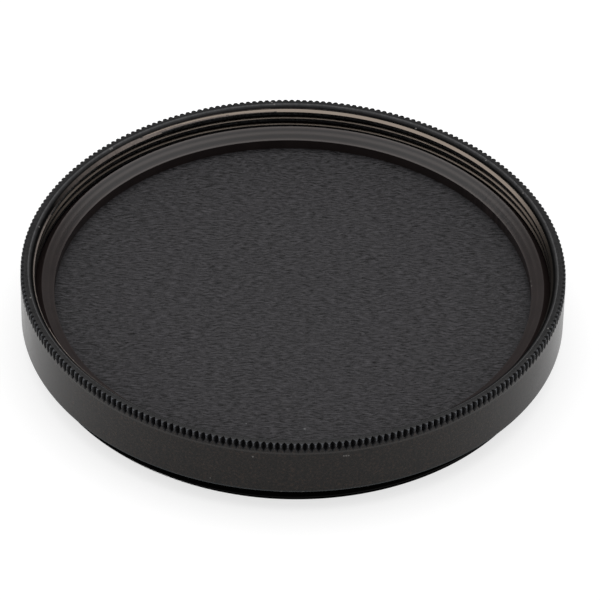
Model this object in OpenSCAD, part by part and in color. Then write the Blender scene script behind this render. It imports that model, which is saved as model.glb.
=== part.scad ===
// Screw-in telescope filter: a turned metal cell with a straight-knurled rim, a dark filter disc
// that lies on a seat inside it, and a threaded retaining ring that holds the disc down.
// The origin is the centre of the male thread's end face. +Z points to the front of the filter.
// Threads are drawn plain: a free thread at its real crest diameter, the engaged one at the
// diameter of its roots in the cell and at its nominal diameter on the ring.

/* [Cell] */
// Outer diameter of the plain wall
cell_d = 50.6; // [50:0.1:54]
// Height of the wall, from its lower edge to the front face
wall_h = 5.65; // [5:0.05:8]
// Bevel on the rim of the front face and on the wall's lower edge
edge_bevel = 0.12; // [0.05:0.01:0.3]
// Thickness of the lip that carries the filter disc
seat_t = 2.25; // [1.2:0.05:2.8]
// Diameter of the opening through the lip
seat_bore_d = 44.4; // [42:0.1:45.4]
// Bevel on the rear edge of that opening
seat_bevel = 0.3; // [0.1:0.05:0.6]

/* [Mouth] */
// Diameter of the mouth bevel where it meets the front face
mouth_d = 48.1; // [47.6:0.1:48.8]
// Depth of the mouth bevel
mouth_bevel_h = 0.25; // [0.15:0.05:0.6]

/* [Knurl] */
// Number of grooves round the rim
groove_count = 258; // [120:1:280]
// Depth of each groove
groove_depth = 0.38; // [0.2:0.01:0.45]
// Length of the grooves, down from the front face
groove_len = 0.95; // [0.7:0.05:2]
// Height over which a groove runs out to the plain wall
runout_h = 0.4; // [0.2:0.05:0.55]
// Width of the flat crest between two grooves
crest_w = 0.06; // [0.03:0.01:0.15]

/* [Threads] */
// Nominal diameter of the front and rear threads
thread_d = 48; // [47.6:0.1:48.4]
// Pitch of both threads
thread_pitch = 0.75; // [0.5:0.05:1]
// Length of the male thread, from the wall down to the end face
male_len = 2.25; // [1.6:0.05:4]
// Lead-in bevel at the end of the male thread
male_bevel = 0.3; // [0.2:0.05:0.6]
// How far the front thread's crests stand in from the nominal radius
crest_h = 0.18; // [0.1:0.01:0.45]
// How far the roots of the cell's thread lie outside the nominal radius
root_clear = 0.1; // [0:0.01:0.2]
// Width of the relief groove between the male thread and the wall
relief_w = 0.5; // [0.3:0.05:0.8]

/* [Retaining ring] */
// Height of the ring at its outer edge
ring_h = 1.8; // [1.6:0.05:2.4]
// Diameter of the ring's bore
ring_bore_d = 44.4; // [42:0.1:45.4]
// Height of the bore's wall, where the sloping top face ends
ring_bore_h = 1; // [0.6:0.05:1.4]
// Bevel on the outer edge of the top face
ring_bevel = 0.65; // [0.3:0.05:0.8]
// Radial clearance of the ring in the cell
ring_clear = 0.1; // [0.02:0.01:0.15]

/* [Filter disc] */
// Diameter of the disc
disc_d = 45.8; // [45.6:0.1:46.2]
// Thickness of the disc
disc_t = 2; // [1:0.1:2.6]
// Radial clearance of the disc in the cell
disc_clear = 0.1; // [0.05:0.01:0.2]
// Bevel ground on both edges of the disc
disc_bevel = 0.2; // [0.1:0.05:0.4]

/* [Hidden] */
$fn = 180;

// Depth of the relief groove in pitches, down to the roots of the male thread
thread_depth_ratio = 0.6134;
// Length of the ring's thread that runs on below the ring, in pitches
thread_runout_ratio = 1 / 3;
// How far the cuts and the knurl reach past the faces that they meet
overlap = 0.05;
// How far the knurl's crests lie inside the plain wall
crest_inset = 0.02;

cell_r = cell_d / 2;
thread_r = thread_d / 2;
crest_r = thread_r - crest_h;
relief_r = thread_r - thread_pitch * thread_depth_ratio;
seat_bore_r = seat_bore_d / 2;
cell_h = male_len + wall_h;
root_r = cell_r - groove_depth;
groove_z = cell_h - groove_len;
pocket_r = disc_d / 2 + disc_clear;
disc_z = seat_t;
ring_z = disc_z + disc_t;
ring_top_z = ring_z + ring_h;
ring_seat_r = thread_r + root_clear;
ring_seat_z = ring_z - thread_pitch * thread_runout_ratio;

// Outer shape of the cell below and behind the grooves, where they run out in a cone
module cell_blank() {
  core_r = root_r - overlap;
  runout_top_z = groove_z + runout_h;
  rotate_extrude()
    polygon([
      [0, 0],
      [thread_r - male_bevel, 0],
      [thread_r, male_bevel],
      [thread_r, male_len - relief_w],
      [relief_r, male_len - relief_w],
      [relief_r, male_len],
      [cell_r - edge_bevel, male_len],
      [cell_r, male_len + edge_bevel],
      [cell_r, groove_z],
      [core_r, runout_top_z],
      [core_r, cell_h],
      [0, cell_h]
    ]);
}

// Straight-knurled band: one vee groove and one narrow flat crest for each pitch
module knurled_band() {
  tip_r = cell_r - crest_inset;
  pitch_a = 360 / groove_count;
  crest_a = crest_w / tip_r * 180 / PI;
  outline = [
    for (i = [0 : groove_count - 1])
      for (p = [[root_r, 0], [tip_r, (pitch_a - crest_a) / 2], [tip_r, (pitch_a + crest_a) / 2]])
        p[0] * [cos(i * pitch_a + p[1]), sin(i * pitch_a + p[1])]
  ];
  intersection() {
    translate([0, 0, groove_z])
      linear_extrude(height = groove_len)
        polygon(outline);
    rotate_extrude()
      polygon([
        [0, groove_z],
        [cell_r, groove_z],
        [cell_r, cell_h - edge_bevel],
        [cell_r - edge_bevel, cell_h],
        [0, cell_h]
      ]);
  }
}

// Space inside the cell: opening, disc pocket, ring seat, free front thread and mouth bevel
module cell_bore() {
  rotate_extrude()
    polygon([
      [0, -overlap],
      [seat_bore_r + seat_bevel + overlap, -overlap],
      [seat_bore_r, seat_bevel],
      [seat_bore_r, disc_z],
      [pocket_r, disc_z],
      [pocket_r, ring_seat_z],
      [ring_seat_r, ring_seat_z],
      [ring_seat_r, ring_top_z],
      [crest_r, ring_top_z],
      [crest_r, cell_h - mouth_bevel_h],
      [mouth_d / 2, cell_h],
      [mouth_d / 2, cell_h + overlap],
      [0, cell_h + overlap]
    ]);
}

module filter_cell() {
  color([0.09, 0.09, 0.1])
    difference() {
      union() {
        cell_blank();
        knurled_band();
      }
      cell_bore();
    }
}

// The ring lies on the disc, and its top face slopes down to its bore
module retaining_ring() {
  outer_r = ring_seat_r - ring_clear;
  bore_r = ring_bore_d / 2;
  color([0.16, 0.15, 0.15])
    translate([0, 0, ring_z])
      rotate_extrude()
        polygon([
          [bore_r, 0],
          [outer_r, 0],
          [outer_r, ring_h - ring_bevel],
          [outer_r - ring_bevel, ring_h],
          [bore_r, ring_bore_h]
        ]);
}

module filter_disc() {
  disc_r = disc_d / 2;
  color([0.2, 0.2, 0.21])
    translate([0, 0, disc_z])
      rotate_extrude()
        polygon([
          [0, 0],
          [disc_r - disc_bevel, 0],
          [disc_r, disc_bevel],
          [disc_r, disc_t - disc_bevel],
          [disc_r - disc_bevel, disc_t],
          [0, disc_t]
        ]);
}

filter_cell();
retaining_ring();
filter_disc();
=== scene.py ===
"""Visual model of a screw-in telescope filter: knurled black cell, retaining ring and dark disc.

Lengths are in millimetres in the row frame, and MM turns them into metres. Angles are counted from
+X towards +Y, which is the back of the filter in the photograph. Colours are linear.
"""
import math
from types import SimpleNamespace

import bmesh
import bpy
from mathutils import Matrix, Vector


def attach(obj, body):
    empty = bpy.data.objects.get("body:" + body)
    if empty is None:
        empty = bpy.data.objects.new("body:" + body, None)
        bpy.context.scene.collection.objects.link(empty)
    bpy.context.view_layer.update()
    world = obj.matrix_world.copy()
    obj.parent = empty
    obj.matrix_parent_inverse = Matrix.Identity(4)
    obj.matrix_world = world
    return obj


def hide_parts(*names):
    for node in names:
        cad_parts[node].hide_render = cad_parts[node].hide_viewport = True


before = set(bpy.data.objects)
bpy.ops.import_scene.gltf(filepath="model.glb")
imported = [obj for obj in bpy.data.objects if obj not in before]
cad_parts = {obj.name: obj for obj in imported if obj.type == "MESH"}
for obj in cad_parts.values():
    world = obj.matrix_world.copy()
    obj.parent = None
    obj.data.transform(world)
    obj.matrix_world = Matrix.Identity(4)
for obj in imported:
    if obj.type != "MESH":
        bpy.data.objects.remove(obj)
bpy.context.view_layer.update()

MM = 0.001
TURN = 2 * math.pi

# Cell, as in the solids
WALL_R = 25.3
CELL_H = 7.9
WALL_LOW_Z = 2.25
EDGE_BEVEL = 0.12
SEAT_T = 2.25
SEAT_BORE_R = 22.2
SEAT_BEVEL = 0.3
POCKET_R = 23.0

# The mouth bevel starts at this radius; its slope is depth over radius
MOUTH_R = 24.62
MOUTH_SLOPE = 0.9
BEVEL_NORMAL_Z = 1 / math.hypot(1, MOUTH_SLOPE)
FACE_MID_R = 24.78
# The lower part of the bevel is bright inside this radius at the back, and in front on the left as a
# narrower rim inside the second radius: worn bare metal and a painted highlight
BARE_AND_LIT_BEVEL_R = 24.29
BARE_AND_LIT_RIM_R = 24.13

# Knurl
TEETH = 258
GROOVE_DEPTH = 0.38
GROOVE_LEN = 0.95
GROOVE_RUNOUT = 0.4
GROOVE_ROOT_R = WALL_R - GROOVE_DEPTH
GROOVE_Z = CELL_H - GROOVE_LEN
CREST_W = 0.06
CREST_R = WALL_R - 0.02
TOOTH_PHASE = -0.27 * TURN / TEETH

# Threads, with a flat of an eighth of the pitch on each root
PITCH = 0.75
FLANK_ANGLE = math.radians(30)
ROOT_FLAT = 1 / 8
THREAD_R = 24.0
MALE_ROOT_R = 23.54
MALE_BEVEL = 0.3
MALE_CREST_Z = 0.9
RELIEF_W = 0.5
FEMALE_CREST_R = 23.97
FEMALE_ROOT_R = 24.25
# Height of the middle of a female crest on the +Y side
FEMALE_CREST_Z = CELL_H - 0.747

# Filter disc
DISC_R = 22.9
DISC_Z = SEAT_T
DISC_T = 2.0
DISC_BEVEL = 0.2
DISC_TOP_Z = DISC_Z + DISC_T

# Retaining ring
RING_Z = DISC_TOP_Z
RING_H = 1.8
RING_BORE_R = 22.2
RING_BORE_H = 1.0
RING_BEVEL = 0.65
RING_OUTER_R = 24.0
RING_TOP_Z = RING_Z + RING_H
RING_EDGE_Z = RING_Z + RING_BORE_H
# The front thread starts a little behind the ring's top, in the shade of its bevel
FEMALE_LOW_Z = RING_TOP_Z - 0.45

# Base colours
BLACK = (0.0185, 0.0184, 0.0188)
# The wall's black, darker and warmer than the face's: painted shade on the side of the same skin
WALL_SHADED_BLACK = (0.0093, 0.0066, 0.0052)
SPOT_BROWN = (0.05, 0.029, 0.02)
# Painted highlight: a light bluish line along the wall's lower edge
LOWER_EDGE_HIGHLIGHT = (0.046, 0.056, 0.062)
# Painted highlight on the teeth's tips in front
TIP_HIGHLIGHT = (0.105, 0.11, 0.12)
# Painted highlight in a line just under the grooves
FOOT_HIGHLIGHT = (0.06, 0.057, 0.055)
# Painted shade: the male thread under the wall's overhang is given a deeper black
THREAD_SHADE_BLACK = (0.004, 0.004, 0.0042)
# Painted shade: the knurl's grooves are a deeper black than the skin
GROOVE_SHADE_BLACK = (0.0085, 0.0083, 0.009)
# Grey that the grooves turn towards their lip
LIP_GREY = (0.05, 0.05, 0.052)
FLANK = (0.168, 0.14, 0.118)
# Painted shade: the mouth bevel turns black further down
BEVEL_SHADE_BLACK = (0.001, 0.001, 0.001)
# Painted highlight along the mouth's edge
BEVEL_EDGE_HIGHLIGHT = (0.105, 0.104, 0.106)
# Bright bare metal on the bevel, also a painted highlight where light catches it
BARE_AND_LIT_BEVEL = (0.21, 0.178, 0.16)
RING_BLACK = (0.0225, 0.0162, 0.0154)
RING_NICK = (0.12, 0.11, 0.1)
DISC_GREY = (0.0335, 0.032, 0.0345)
METAL_DUST = (0.26, 0.25, 0.24)
BEVEL_DUST = (0.3, 0.29, 0.28)
DISC_DUST = (0.16, 0.16, 0.165)

# Bands on the ring's slope from its turning, with painted highlights on its outer and inner edges,
# shown mostly at the back where light falls: radius, half width, colour and strength
RING_BANDS_AND_GLINTS = [
    (23.3, 0.12, (0.085, 0.07, 0.066), 1.0),
    (23.07, 0.14, (0.008, 0.006, 0.006), 0.8),
    (22.86, 0.18, (0.055, 0.046, 0.043), 0.9),
    (22.55, 0.2, (0.003, 0.002, 0.002), 0.9),
    (22.27, 0.1, (0.075, 0.062, 0.058), 1.0),
]

# Dust and nicks: degrees, radius, height and half width
METAL_SPECKS = [
    (193, 24.7, CELL_H, 0.12),
    (329, 24.94, CELL_H, 0.1),
    (340, 24.9, CELL_H, 0.12),
    (95.5, 24.8, CELL_H, 0.11),
    (268.5, WALL_R, WALL_LOW_Z + 0.1, 0.13),
    (272.8, WALL_R, WALL_LOW_Z + 0.1, 0.11),
    (253.8, WALL_R, 2.93, 0.08),
    (262.6, WALL_R, 6.29, 0.13),
    (281.0, WALL_R, 6.37, 0.11),
    (281.5, WALL_R, 6.36, 0.13),
    (282.0, WALL_R, 6.33, 0.11),
]
RING_NICKS = [
    (1.8, 22.25, RING_EDGE_Z + 0.03, 0.14),
    (3.6, 22.25, RING_EDGE_Z + 0.03, 0.1),
]
DISC_SPECKS = [
    (274.0, 18.95, DISC_TOP_Z, 0.16),
    (257.8, 18.75, DISC_TOP_Z, 0.1),
]
# Those on the mouth bevel have no height: degrees, radius and half width
BEVEL_SPECKS = [
    (61.6, 24.30, 0.11),
    (28, 24.48, 0.1),
    (42, 24.49, 0.1),
    (95, 24.56, 0.11),
    (135.7, 24.52, 0.14),
    (136.2, 24.52, 0.14),
    (168, 24.40, 0.1),
]

# Numbers of the cell's materials
SKIN, FLANKS, MALE_THREAD, MOUTH, GROOVES = range(5)

# Light. The floor's albedo, as it lights the filter and as the camera sees it, with the glow that
# the camera sees in it and the one that shiny faces see
SOFTBOX_W = 5.3
WORLD_STRENGTH = 0.25
FLOOR_ALBEDO = 0.8
FLOOR_SEEN = 0.4
FLOOR_GLOW = 0.72
FLOOR_GLOSS = 0.42


def polar(r, angle, z):
    return (r * math.cos(angle) * MM, r * math.sin(angle) * MM, z * MM)


def link_mesh(name, mesh, sharp_deg):
    for face in mesh.polygons:
        face.use_smooth = True
    mesh.set_sharp_from_angle(angle=math.radians(sharp_deg))
    obj = bpy.data.objects.new(name, mesh)
    bpy.context.scene.collection.objects.link(obj)
    return obj


def turned(name, profile, cols):
    """Revolves a closed list of (r, z). A point with r = 0 becomes one vertex."""
    verts, faces, rings = [], [], []
    for r, z in profile:
        if r == 0:
            rings.append([len(verts)] * cols)
            verts.append((0, 0, z * MM))
        else:
            rings.append(list(range(len(verts), len(verts) + cols)))
            verts += [polar(r, j * TURN / cols, z) for j in range(cols)]
    for a, b in zip(rings, rings[1:] + rings[:1]):
        for j in range(cols):
            k = (j + 1) % cols
            quad = [a[j], a[k], b[k], b[j]]
            face = [v for n, v in enumerate(quad) if v not in quad[:n]]
            if len(face) > 2:
                faces.append(face)
    mesh = bpy.data.meshes.new(name)
    mesh.from_pydata(verts, [], faces)
    return link_mesh(name, mesh, 28)


# The cell's mesh is a stack of rows from rear to front and back down inside. A row is an open list
# of (angle, r, z) that runs once round; its two ends are merged at the end.
def plain_angles():
    """Two columns for each tooth: its groove and the middle of its land."""
    step = TURN / TEETH / 2
    return [TOOTH_PHASE + i * step for i in range(2 * TEETH + 1)]


def plain_row(r, z):
    return [(a, r, z) for a in plain_angles()]


def knurl_row(z, top_r):
    """Five columns for each tooth: root, flank, both sides of the crest, flank."""
    flank_r = WALL_R - EDGE_BEVEL
    tip_r = min(CREST_R, top_r)
    half_pitch = math.pi / TEETH
    half_crest = CREST_W / CREST_R / 2
    side = half_pitch - half_crest
    middle = side * (flank_r - GROOVE_ROOT_R) / (CREST_R - GROOVE_ROOT_R)
    row = []
    for i in range(TEETH):
        start = TOOTH_PHASE + i * TURN / TEETH
        row += [
            (start, GROOVE_ROOT_R, z),
            (start + middle, flank_r, z),
            (start + side, tip_r, z),
            (start + 2 * half_pitch - side, tip_r, z),
            (start + 2 * half_pitch - middle, flank_r, z),
        ]
    row.append((TOOTH_PHASE + TURN, GROOVE_ROOT_R, z))
    return row


def flank_width(crest_r, root_r):
    """Width of one sloping flank of a thread, along the axis."""
    return abs(root_r - crest_r) * math.tan(FLANK_ANGLE)


def thread_radius(turns, crest_r, root_r):
    """Radius of a thread at a height that is given in pitches from the middle of a crest."""
    flank = flank_width(crest_r, root_r)
    away = abs((turns + 0.5) % 1.0 - 0.5) * PITCH
    crest_half = PITCH * (1 - ROOT_FLAT) / 2 - flank
    part = min(1.0, max(0.0, (away - crest_half) / flank))
    return crest_r + (root_r - crest_r) * part


def thread_rows(low, high, crest_z, crest_r, root_r, splits, limit):
    """Rows along the helix between two heights, from below, with one on each edge of the thread."""
    flank = flank_width(crest_r, root_r) / PITCH
    root_low, root_high = (1 - ROOT_FLAT) / 2, (1 + ROOT_FLAT) / 2
    edges = [root_low - flank, root_low, root_high, root_high + flank, root_low - flank + 1]
    places = []
    for a, b in zip(edges, edges[1:]):
        places += [a + (b - a) * k / splits for k in range(splits)]
    first = math.floor((low - crest_z) / PITCH) - 2
    last = math.ceil((high - crest_z) / PITCH) + 1
    rows = []
    for turn in range(first, last + 1):
        for place in places:
            row = []
            for a in plain_angles():
                lift = (a - math.pi / 2) / TURN
                z = min(high, max(low, crest_z + (turn + place + lift) * PITCH))
                r = thread_radius((z - crest_z) / PITCH - lift, crest_r, root_r)
                row.append((a, limit(r, z), z))
            rows.append(row)
    return rows


def male_limit(r, z):
    """Cuts the male thread back to the bevel at its end."""
    return min(r, THREAD_R - MALE_BEVEL + z)


def mouth_limit(r, z):
    """Cuts the front thread back to the mouth bevel."""
    return max(r, MOUTH_R - (CELL_H - z) / MOUTH_SLOPE)


def cell_rows():
    male_top = WALL_LOW_Z - RELIEF_W
    ring_seat_z = RING_Z - PITCH / 3
    teeth_top = CELL_H - EDGE_BEVEL + WALL_R - CREST_R
    rows = [
        plain_row(SEAT_BORE_R + SEAT_BEVEL, 0),
        plain_row(THREAD_R - MALE_BEVEL, 0),
    ]
    rows += thread_rows(0, male_top, MALE_CREST_Z, THREAD_R, MALE_ROOT_R, 3, male_limit)
    rows += [
        plain_row(MALE_ROOT_R, male_top),
        plain_row(MALE_ROOT_R, WALL_LOW_Z),
        plain_row(WALL_R - EDGE_BEVEL, WALL_LOW_Z),
        plain_row(WALL_R, WALL_LOW_Z + EDGE_BEVEL),
        plain_row(WALL_R, GROOVE_Z),
        knurl_row(GROOVE_Z + GROOVE_RUNOUT, WALL_R),
        knurl_row(teeth_top, WALL_R),
        knurl_row(CELL_H, WALL_R - EDGE_BEVEL),
        plain_row(FACE_MID_R, CELL_H),
        plain_row(MOUTH_R, CELL_H),
    ]
    rows += reversed(thread_rows(
        FEMALE_LOW_Z, CELL_H, FEMALE_CREST_Z, FEMALE_CREST_R, FEMALE_ROOT_R, 4, mouth_limit,
    ))
    rows += [
        plain_row(FEMALE_ROOT_R, FEMALE_LOW_Z),
        plain_row(FEMALE_ROOT_R, ring_seat_z),
        plain_row(POCKET_R, ring_seat_z),
        plain_row(POCKET_R, SEAT_T),
        plain_row(SEAT_BORE_R, SEAT_T),
        plain_row(SEAT_BORE_R, SEAT_BEVEL),
    ]
    return rows


def strip(low, high, angles_low, angles_high):
    """Triangles between two rows of any lengths, going round by angle."""
    i = j = 0
    faces = []
    while i < len(low) - 1 or j < len(high) - 1:
        step_low = i < len(low) - 1 and (
            j == len(high) - 1 or angles_low[i + 1] <= angles_high[j + 1] + 1e-9
        )
        if step_low:
            faces.append((low[i], low[i + 1], high[j]))
            i += 1
        else:
            faces.append((low[i], high[j + 1], high[j]))
            j += 1
    return faces


def groove_feet(low, high):
    """Faces between the plain wall and the grooves, each of which ends in a point."""
    faces = []
    for i in range(TEETH):
        foot, land, next_foot = low[2 * i], low[2 * i + 1], low[2 * i + 2]
        root, flank_a, tip_a, tip_b, flank_b, next_root = high[5 * i:5 * i + 6]
        faces += [
            (foot, flank_a, root),
            (foot, tip_a, flank_a),
            (foot, land, tip_a),
            (land, tip_b, tip_a),
            (land, next_foot, tip_b),
            (next_foot, flank_b, tip_b),
            (next_foot, next_root, flank_b),
        ]
    return faces


def rim_bevel(low, high):
    """Faces of the teeth's top bevel, split where the bevel meets the flanks."""
    faces = []
    for i in range(TEETH):
        root, flank_a, tip_a, tip_b, flank_b, next_root = low[5 * i:5 * i + 6]
        top = high[5 * i:5 * i + 6]
        faces += [
            (root, flank_a, top[1], top[0]),
            (flank_a, tip_a, top[1]),
            (tip_a, top[2], top[1]),
            (tip_a, tip_b, top[3], top[2]),
            (tip_b, top[4], top[3]),
            (tip_b, flank_b, top[4]),
            (flank_b, next_root, top[5], top[4]),
        ]
    return faces


def cell_material(z, radius, normal_z):
    """Which material a face of the cell has, by its centre and its normal."""
    in_thread = FEMALE_CREST_R < radius < FEMALE_ROOT_R and z > FEMALE_LOW_Z - 0.05
    if in_thread and normal_z > 0.8:
        return FLANKS
    if z < WALL_LOW_Z and radius > SEAT_BORE_R + SEAT_BEVEL:
        return MALE_THREAD
    if z > CELL_H - 0.7 and radius < MOUTH_R and abs(normal_z - BEVEL_NORMAL_Z) < 0.05:
        return MOUTH
    # The flanks and feet of the grooves, but not the teeth's top bevel
    in_groove = z > GROOVE_Z and GROOVE_ROOT_R < radius < WALL_R - 0.04
    if in_groove and (abs(normal_z) < 0.45 or z < CELL_H - EDGE_BEVEL):
        return GROOVES
    return SKIN


def build_cell():
    rows = cell_rows()
    verts, rings = [], []
    for row in rows:
        rings.append(list(range(len(verts), len(verts) + len(row))))
        verts += [polar(r, a, z) for a, r, z in row]
    faces = []
    knurled = [n for n, row in enumerate(rows) if len(row) == 5 * TEETH + 1]
    for n, low in enumerate(rings):
        k = (n + 1) % len(rings)
        high = rings[k]
        if k == knurled[0]:
            faces += groove_feet(low, high)
        elif k == knurled[-1]:
            faces += rim_bevel(low, high)
        elif len(low) != len(high):
            faces += strip(low, high, [p[0] for p in rows[n]], [p[0] for p in rows[k]])
        else:
            faces += [
                (low[i], low[i + 1], high[i + 1], high[i]) for i in range(len(low) - 1)
            ]
    mesh = bpy.data.meshes.new("cell")
    mesh.from_pydata(verts, [], faces)
    bm = bmesh.new()
    bm.from_mesh(mesh)
    bmesh.ops.remove_doubles(bm, verts=bm.verts, dist=2e-7)
    bmesh.ops.dissolve_degenerate(bm, edges=bm.edges, dist=1e-7)
    bmesh.ops.recalc_face_normals(bm, faces=bm.faces)
    for face in bm.faces:
        centre = face.calc_center_median() / MM
        radius = math.hypot(centre.x, centre.y)
        face.material_index = cell_material(centre.z, radius, face.normal.z)
    bm.to_mesh(mesh)
    bm.free()
    return link_mesh("cell", mesh, 22)


def build_ring():
    profile = [
        (RING_BORE_R, RING_Z),
        (RING_OUTER_R, RING_Z),
        (RING_OUTER_R, RING_TOP_Z - RING_BEVEL),
        (RING_OUTER_R - RING_BEVEL, RING_TOP_Z),
        (RING_BORE_R, RING_EDGE_Z),
    ]
    return turned("ring", profile, 720)


def build_disc():
    profile = [
        (0, DISC_Z),
        (DISC_R - DISC_BEVEL, DISC_Z),
        (DISC_R, DISC_Z + DISC_BEVEL),
        (DISC_R, DISC_TOP_Z - DISC_BEVEL),
        (DISC_R - DISC_BEVEL, DISC_TOP_Z),
        (0, DISC_TOP_Z),
    ]
    return turned("disc", profile, 360)


# Node helpers. A value or a colour may be a constant or a socket.
def put(tree, socket, value):
    if isinstance(value, bpy.types.NodeSocket):
        tree.links.new(value, socket)
    else:
        socket.default_value = value


def calc(tree, op, a, b=0.0, clamp=False):
    node = tree.nodes.new("ShaderNodeMath")
    node.operation = op
    node.use_clamp = clamp
    put(tree, node.inputs[0], a)
    put(tree, node.inputs[1], b)
    return node.outputs[0]


def total(tree, *values):
    out = values[0]
    for value in values[1:]:
        out = calc(tree, "ADD", out, value)
    return out


def times(tree, *values):
    out = values[0]
    for value in values[1:]:
        out = calc(tree, "MULTIPLY", out, value)
    return out


def varied(tree, *terms):
    """1 plus each term. A term is a weight and the values that it multiplies."""
    return total(tree, 1.0, *(times(tree, *term) for term in terms))


def above(tree, value, limit):
    return calc(tree, "GREATER_THAN", value, limit)


def ramp(tree, value, start, end):
    """0 up to the start and 1 from the end on. The end may be the lower one."""
    return calc(tree, "DIVIDE", calc(tree, "SUBTRACT", value, start), end - start, clamp=True)


def bell(tree, value, centre, half):
    """1 at the centre, 0 from half away."""
    away = calc(tree, "ABSOLUTE", calc(tree, "SUBTRACT", value, centre))
    return calc(tree, "SUBTRACT", 1.0, calc(tree, "DIVIDE", away, half), clamp=True)


def vector(tree, x, y, z):
    node = tree.nodes.new("ShaderNodeCombineXYZ")
    for socket, value in zip(node.inputs, (x, y, z)):
        put(tree, socket, value)
    return node.outputs[0]


def scaled(tree, vec, factor):
    """A vector or a colour times a factor."""
    node = tree.nodes.new("ShaderNodeVectorMath")
    node.operation = "SCALE"
    put(tree, node.inputs[0], vec)
    put(tree, node.inputs["Scale"], factor)
    return node.outputs[0]


def noise(tree, vec, scale, detail=2.0, rough=0.5):
    """Noise from about -1 to 1."""
    node = tree.nodes.new("ShaderNodeTexNoise")
    put(tree, node.inputs["Vector"], vec)
    node.inputs["Scale"].default_value = scale
    node.inputs["Detail"].default_value = detail
    node.inputs["Roughness"].default_value = rough
    return times(tree, calc(tree, "SUBTRACT", node.outputs["Fac"], 0.5), 3.0)


def coords(tree):
    """Place of the shaded point: x, y, z, radius and point in mm, and angle from -pi to pi."""
    source = tree.nodes.new("ShaderNodeTexCoord").outputs["Object"]
    point = scaled(tree, source, 1 / MM)
    parts = tree.nodes.new("ShaderNodeSeparateXYZ")
    put(tree, parts.inputs[0], point)
    x, y, z = parts.outputs
    square = calc(tree, "ADD", times(tree, x, x), times(tree, y, y))
    radius = calc(tree, "SQRT", square)
    angle = calc(tree, "ARCTAN2", y, x)
    return SimpleNamespace(x=x, y=y, z=z, radius=radius, point=point, angle=angle)


def bump(tree, height, distance):
    node = tree.nodes.new("ShaderNodeBump")
    put(tree, node.inputs["Height"], height)
    node.inputs["Distance"].default_value = distance
    node.inputs["Strength"].default_value = 1.0
    return node.outputs[0]


def blend(tree, low, high, factor):
    """Colour between two colours."""
    node = tree.nodes.new("ShaderNodeMix")
    node.data_type = "RGBA"
    for index, value in ((0, factor), (6, low), (7, high)):
        if isinstance(value, tuple):
            value = (*value, 1)
        put(tree, node.inputs[index], value)
    return node.outputs[2]


def speck_mask(tree, point, specks):
    """1 in the middle of each speck. A speck is (degrees, r, z, half width)."""
    masks = []
    for degrees, r, z, half in specks:
        angle = math.radians(degrees)
        node = tree.nodes.new("ShaderNodeVectorMath")
        node.operation = "DISTANCE"
        put(tree, node.inputs[0], point)
        node.inputs[1].default_value = (r * math.cos(angle), r * math.sin(angle), z)
        away = calc(tree, "DIVIDE", node.outputs["Value"], half)
        masks.append(calc(tree, "SUBTRACT", 1.0, away, clamp=True))
    return total(tree, *masks)


def principled(name, colour, rough, specular, metallic=0.0):
    mat = bpy.data.materials.new(name)
    mat.use_nodes = True
    bsdf = mat.node_tree.nodes["Principled BSDF"]
    bsdf.inputs["Base Color"].default_value = (*colour, 1)
    bsdf.inputs["Roughness"].default_value = rough
    bsdf.inputs["Specular IOR Level"].default_value = specular
    bsdf.inputs["Metallic"].default_value = metallic
    return mat, mat.node_tree, bsdf


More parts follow.
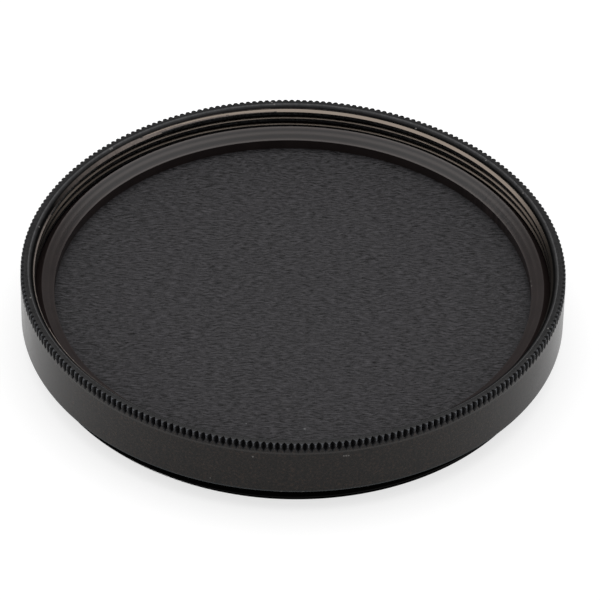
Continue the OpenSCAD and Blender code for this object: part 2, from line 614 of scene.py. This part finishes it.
def anodised_metal():
    """Black anodised skin: turned rings on the face, brown spots and fine marks on the wall, with
    painted highlights and painted shade on the face, knurl and wall.
    """
    mat, tree, bsdf = principled("anodised_metal", BLACK, 0.26, 0.2)
    at = coords(tree)
    wall = above(tree, at.radius, WALL_R - 0.03)
    face = above(tree, at.z, CELL_H - 0.01)
    back = calc(tree, "SINE", at.angle)
    front = calc(tree, "MULTIPLY", back, -1.0, clamp=True)
    knurl = times(
        tree,
        above(tree, at.radius, FACE_MID_R),
        above(tree, at.z, GROOVE_Z),
        calc(tree, "SUBTRACT", 1.0, face),
    )
    mottle = noise(tree, at.point, 0.45, 4.0, 0.6)
    grain = noise(tree, at.point, 5.0)
    marks = noise(tree, vector(tree, at.x, at.y, times(tree, at.z, 0.07)), 3.0, 3.0)
    rings = noise(tree, vector(tree, at.radius, 0.0, times(tree, mottle, 0.06)), 7.0)
    shade = varied(
        tree,
        (0.12, mottle),
        (1.6, grain),
        (-1.15, grain, face),
        (0.3, marks, wall),
        (0.6, rings, face),
        # Painted highlight: the face lighter in front
        (0.35, front, face),
        # Painted shade: the top of the teeth darker at the back
        (-0.5, back, face, above(tree, at.radius, GROOVE_ROOT_R)),
        # Painted shade: darker deeper in the knurl's hollows
        (2.0, knurl, calc(tree, "SUBTRACT", at.radius, WALL_R)),
    )
    # The wall takes the darker black: painted shade on the side
    colour = blend(tree, scaled(tree, BLACK, shade), scaled(tree, WALL_SHADED_BLACK, shade), wall)
    spots = times(tree, ramp(tree, grain, 0.15, 1.15), wall)
    colour = blend(tree, colour, SPOT_BROWN, spots)
    # Painted highlight along the wall's lower edge
    lower_edge_highlight = times(tree, bell(tree, at.z, WALL_LOW_Z + 0.1, 0.17), wall)
    colour = blend(tree, colour, LOWER_EDGE_HIGHLIGHT, lower_edge_highlight)
    # Painted highlight: the teeth's tips lighter on the front side
    ahead = calc(tree, "SUBTRACT", 0.35, back, clamp=True)
    tip_highlight = times(
        tree, above(tree, at.radius, WALL_R - 0.17), above(tree, at.z, CELL_H - 0.35), ahead, 0.9,
    )
    colour = blend(tree, colour, TIP_HIGHLIGHT, tip_highlight)
    # Painted highlight: a light line on the wall under the grooves
    foot_highlight = times(tree, bell(tree, at.z, GROOVE_Z - 0.05, 0.16), wall, 0.6)
    colour = blend(tree, colour, FOOT_HIGHLIGHT, foot_highlight)
    dust = speck_mask(tree, at.point, METAL_SPECKS)
    put(tree, bsdf.inputs["Base Color"], blend(tree, colour, METAL_DUST, dust))
    rough = total(tree, 0.25, times(tree, mottle, 0.03), times(tree, dust, 0.5))
    put(tree, bsdf.inputs["Roughness"], rough)
    return mat


def groove_shade_black():
    """Grooves of the knurl: black at the root as painted shade in the recess, and greyer towards the
    lip.
    """
    mat, tree, bsdf = principled("groove_shade_black", GROOVE_SHADE_BLACK, 0.4, 0.05)
    at = coords(tree)
    toward_lip = ramp(tree, at.radius, WALL_R - 0.17, WALL_R - 0.05)
    shade = varied(tree, (0.4, noise(tree, at.point, 5.0)))
    colour = blend(tree, scaled(tree, GROOVE_SHADE_BLACK, shade), LIP_GREY, toward_lip)
    put(tree, bsdf.inputs["Base Color"], colour)
    return mat


def mouth_bevel():
    """Mouth bevel: a painted highlight at its edge, painted shade further down, and bright over the
    thread as wear and a painted highlight.
    """
    mat, tree, bsdf = principled("mouth_bevel", BLACK, 0.3, 0.05)
    at = coords(tree)
    # Painted highlight at the mouth's edge, fading into painted shade further down the bevel
    down = ramp(tree, at.radius, MOUTH_R, BARE_AND_LIT_BEVEL_R)
    colour = blend(tree, BEVEL_EDGE_HIGHLIGHT, BEVEL_SHADE_BLACK, calc(tree, "POWER", down, 0.6))
    edge_highlight = bell(tree, at.radius, MOUTH_R - 0.06, 0.08)
    colour = blend(tree, colour, BEVEL_EDGE_HIGHLIGHT, times(tree, edge_highlight, 0.9))
    # Worn bare metal and a painted highlight, at the back and as a rim in front on the left
    arc = times(tree, bell(tree, at.angle, math.radians(116), math.radians(44)), 1.5)
    worn_and_lit = ramp(tree, at.radius, BARE_AND_LIT_BEVEL_R, BARE_AND_LIT_BEVEL_R - 0.05)
    colour = blend(tree, colour, BARE_AND_LIT_BEVEL, times(tree, worn_and_lit, calc(tree, "MINIMUM", arc, 1.0)))
    towards = calc(tree, "COSINE", calc(tree, "SUBTRACT", at.angle, math.radians(-163)))
    rim = ramp(tree, at.radius, BARE_AND_LIT_RIM_R, BARE_AND_LIT_RIM_R - 0.06)
    colour = blend(tree, colour, BARE_AND_LIT_BEVEL, times(tree, rim, ramp(tree, towards, 0.76, 0.88)))
    mottle = noise(tree, at.point, 1.2, 3.0)
    grain = noise(tree, at.point, 5.0)
    colour = scaled(tree, colour, varied(tree, (0.25, mottle), (0.3, grain)))
    specks = [
        (degrees, r, CELL_H - MOUTH_SLOPE * (MOUTH_R - r), half)
        for degrees, r, half in BEVEL_SPECKS
    ]
    dust = speck_mask(tree, at.point, specks)
    put(tree, bsdf.inputs["Base Color"], blend(tree, colour, BEVEL_DUST, dust))
    return mat


def bare_flank():
    """Upper flanks of the front thread, worn bright, with painted shade making deeper turns, the left
    side and the front duller.
    """
    mat, tree, bsdf = principled("bare_flank", FLANK, 0.26, 0.5, 1.0)
    at = coords(tree)
    depth = calc(tree, "SUBTRACT", CELL_H, at.z)
    # Painted shade: flanks of deeper turns darker, more so on the left
    second = ramp(tree, depth, 0.8, 0.95)
    third = ramp(tree, depth, 1.0, 2.0)
    left = ramp(tree, at.angle, 1.9, 2.4)
    # Painted shade: the flanks darker towards the front
    from_right = ramp(tree, at.angle, 0.0, math.radians(32))
    from_left = ramp(tree, at.angle, math.radians(192), math.radians(156))
    behind = calc(tree, "MAXIMUM", calc(tree, "MINIMUM", from_right, from_left), 0.22)
    spin = vector(tree, times(tree, at.angle, 6.0), at.radius, times(tree, at.z, 6.0))
    marks = noise(tree, spin, 1.0, 3.0)
    shade = varied(tree, (-0.28, second), (-0.15, third), (-0.38, second, left), (0.1, marks))
    put(tree, bsdf.inputs["Base Color"], scaled(tree, FLANK, times(tree, shade, behind)))
    return mat


def thread_shade_black():
    """Male thread and relief groove, a deeper black than the wall: painted shade under the wall's
    overhang.
    """
    mat, tree, bsdf = principled("thread_shade_black", THREAD_SHADE_BLACK, 0.42, 0.06)
    shade = varied(tree, (0.25, noise(tree, coords(tree).point, 2.5, 3.0)))
    put(tree, bsdf.inputs["Base Color"], scaled(tree, THREAD_SHADE_BLACK, shade))
    return mat


def turned_ring_metal():
    """Retaining ring: turned rings on its slope and painted highlights on its edges, both shown
    mostly at the back, and a few chatter marks.
    """
    mat, tree, bsdf = principled("turned_ring_metal", RING_BLACK, 0.3, 0.4)
    at = coords(tree)
    mottle = noise(tree, at.point, 0.5, 3.0)
    rings = noise(tree, vector(tree, at.radius, 0.0, times(tree, mottle, 0.05)), 5.0, 3.0)
    spin = vector(tree, times(tree, at.angle, 60.0), times(tree, at.radius, 0.3), 0.0)
    chatter = times(
        tree, noise(tree, spin, 1.0), bell(tree, at.angle, math.radians(33), math.radians(16)),
    )
    shade = varied(tree, (0.14, mottle), (0.5, rings), (1.1, chatter))
    colour = scaled(tree, RING_BLACK, shade)
    # The bands and painted edge highlights show mostly at the back, where the light falls
    behind = calc(tree, "MULTIPLY", calc(tree, "SINE", at.angle), 1.6, clamp=True)
    slope = times(
        tree, above(tree, at.z, RING_EDGE_Z - 0.03), calc(tree, "MAXIMUM", behind, 0.12),
    )
    for r, half, band, part in RING_BANDS_AND_GLINTS:
        shown = times(tree, bell(tree, at.radius, r, half), slope, part)
        colour = blend(tree, colour, band, shown)
    colour = blend(tree, colour, RING_NICK, speck_mask(tree, at.point, RING_NICKS))
    put(tree, bsdf.inputs["Base Color"], colour)
    relief = total(tree, rings, times(tree, chatter, 2.0))
    put(tree, bsdf.inputs["Normal"], bump(tree, relief, 5e-6))
    return mat


def filter_surface():
    """Dark filter face with fine wavy streaks along X, a fine grain, and a painted shadow of the ring
    darkening it towards its edge.
    """
    mat, tree, bsdf = principled("filter_surface", DISC_GREY, 0.6, 0.2)
    at = coords(tree)
    wave = times(tree, noise(tree, at.point, 0.42), 0.35)
    slip = noise(tree, vector(tree, times(tree, at.x, 0.25), times(tree, at.y, 2.2), 3.0), 1.0, 1.0)
    along = total(tree, times(tree, at.x, 1.5), times(tree, slip, 1.5))
    across = times(tree, total(tree, at.y, wave), 5.4)
    streaks = noise(tree, vector(tree, along, across, 0.0), 1.0, 2.0, 0.6)
    grain = noise(tree, at.point, 9.0, 1.0)
    cloud = noise(tree, at.point, 0.16)
    # Painted shadow of the retaining ring, darkening the disc towards its edge
    rim = calc(tree, "POWER", calc(tree, "DIVIDE", at.radius, DISC_R), 6.0)
    shade = varied(tree, (1.4, streaks), (0.45, grain), (0.03, cloud), (-0.3, rim))
    dust = speck_mask(tree, at.point, DISC_SPECKS)
    colour = blend(tree, scaled(tree, DISC_GREY, shade), DISC_DUST, dust)
    put(tree, bsdf.inputs["Base Color"], colour)
    return mat


def place(obj, mats, node, slot):
    for mat in mats:
        obj.data.materials.append(mat)
    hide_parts(node)
    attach(obj, "root")


def make_camera():
    """Camera fitted to the photo: distance and angles about the centre of the front face."""
    dist, elev = 432.9, math.radians(39.325)
    yaw, pitch, roll = (math.radians(a) for a in (0.091, -0.435, 1.116))
    offset = Vector((0, -dist * math.cos(elev), dist * math.sin(elev)))
    fwd = -offset.normalized()
    right = Vector((1, 0, 0))
    up = right.cross(fwd)
    fwd = (
        fwd * math.cos(pitch) * math.cos(yaw)
        + right * math.sin(yaw) * math.cos(pitch)
        + up * math.sin(pitch)
    ).normalized()
    right = fwd.cross(up).normalized()
    up = right.cross(fwd)
    rolled_right = right * math.cos(roll) + up * math.sin(roll)
    rolled_up = -right * math.sin(roll) + up * math.cos(roll)
    data = bpy.data.cameras.new("camera")
    data.sensor_width = 36
    data.lens = 280.0
    data.clip_start = 0.01
    data.clip_end = 10
    cam = bpy.data.objects.new("camera", data)
    bpy.context.scene.collection.objects.link(cam)
    turn = Matrix((rolled_right, rolled_up, -fwd)).transposed().to_4x4()
    spot = (offset + Vector((0, 0, CELL_H))) * MM
    cam.matrix_world = Matrix.Translation(spot) @ turn
    bpy.context.scene.camera = cam


def make_softbox():
    """Wide softbox right over the filter, shifted a little to the back; sizes in metres."""
    data = bpy.data.lights.new("softbox", "AREA")
    data.shape = "RECTANGLE"
    data.size = 1.38
    data.size_y = 0.79
    data.energy = SOFTBOX_W
    obj = bpy.data.objects.new("softbox", data)
    bpy.context.scene.collection.objects.link(obj)
    obj.location = (0, 0.145, 0.6)


def make_floor():
    """Pale floor. The camera sees it brighter, and its shadow softer, than it lights the filter."""
    mesh = bpy.data.meshes.new("floor")
    half_m = 3
    corners = [(-half_m, -half_m, 0), (half_m, -half_m, 0), (half_m, half_m, 0), (-half_m, half_m, 0)]
    mesh.from_pydata(corners, [], [(0, 1, 2, 3)])
    floor = bpy.data.objects.new("floor", mesh)
    bpy.context.scene.collection.objects.link(floor)
    albedo = (FLOOR_ALBEDO, FLOOR_ALBEDO, FLOOR_ALBEDO)
    mat, tree, bsdf = principled("floor", albedo, 0.7, 0.0)
    path = tree.nodes.new("ShaderNodeLightPath").outputs
    seen = calc(tree, "MAXIMUM", path["Is Camera Ray"], path["Is Transmission Ray"])
    pale = calc(tree, "SUBTRACT", FLOOR_ALBEDO, times(tree, seen, FLOOR_ALBEDO - FLOOR_SEEN))
    put(tree, bsdf.inputs["Base Color"], vector(tree, pale, pale, pale))
    glow = tree.nodes.new("ShaderNodeEmission")
    glow.inputs["Color"].default_value = (1, 1, 1, 1)
    gloss = times(tree, path["Is Glossy Ray"], FLOOR_GLOSS)
    put(tree, glow.inputs["Strength"], total(tree, times(tree, seen, FLOOR_GLOW), gloss))
    both = tree.nodes.new("ShaderNodeAddShader")
    tree.links.new(bsdf.outputs[0], both.inputs[0])
    tree.links.new(glow.outputs[0], both.inputs[1])
    tree.links.new(both.outputs[0], tree.nodes["Material Output"].inputs["Surface"])
    mesh.materials.append(mat)


def make_world():
    world = bpy.data.worlds.new("world")
    bpy.context.scene.world = world
    world.use_nodes = True
    back = world.node_tree.nodes["Background"]
    back.inputs["Color"].default_value = (1, 1, 1, 1)
    back.inputs["Strength"].default_value = WORLD_STRENGTH


# In the order of SKIN, FLANKS, MALE_THREAD, MOUTH and GROOVES
cell_materials = [anodised_metal(), bare_flank(), thread_shade_black(), mouth_bevel(), groove_shade_black()]
place(build_cell(), cell_materials, "filter_cell", "cell")
place(build_ring(), [turned_ring_metal()], "retaining_ring", "ring")
place(build_disc(), [filter_surface()], "filter_disc", "disc")

make_camera()
make_softbox()
make_floor()
make_world()

bpy.context.scene.view_settings.view_transform = "Standard"
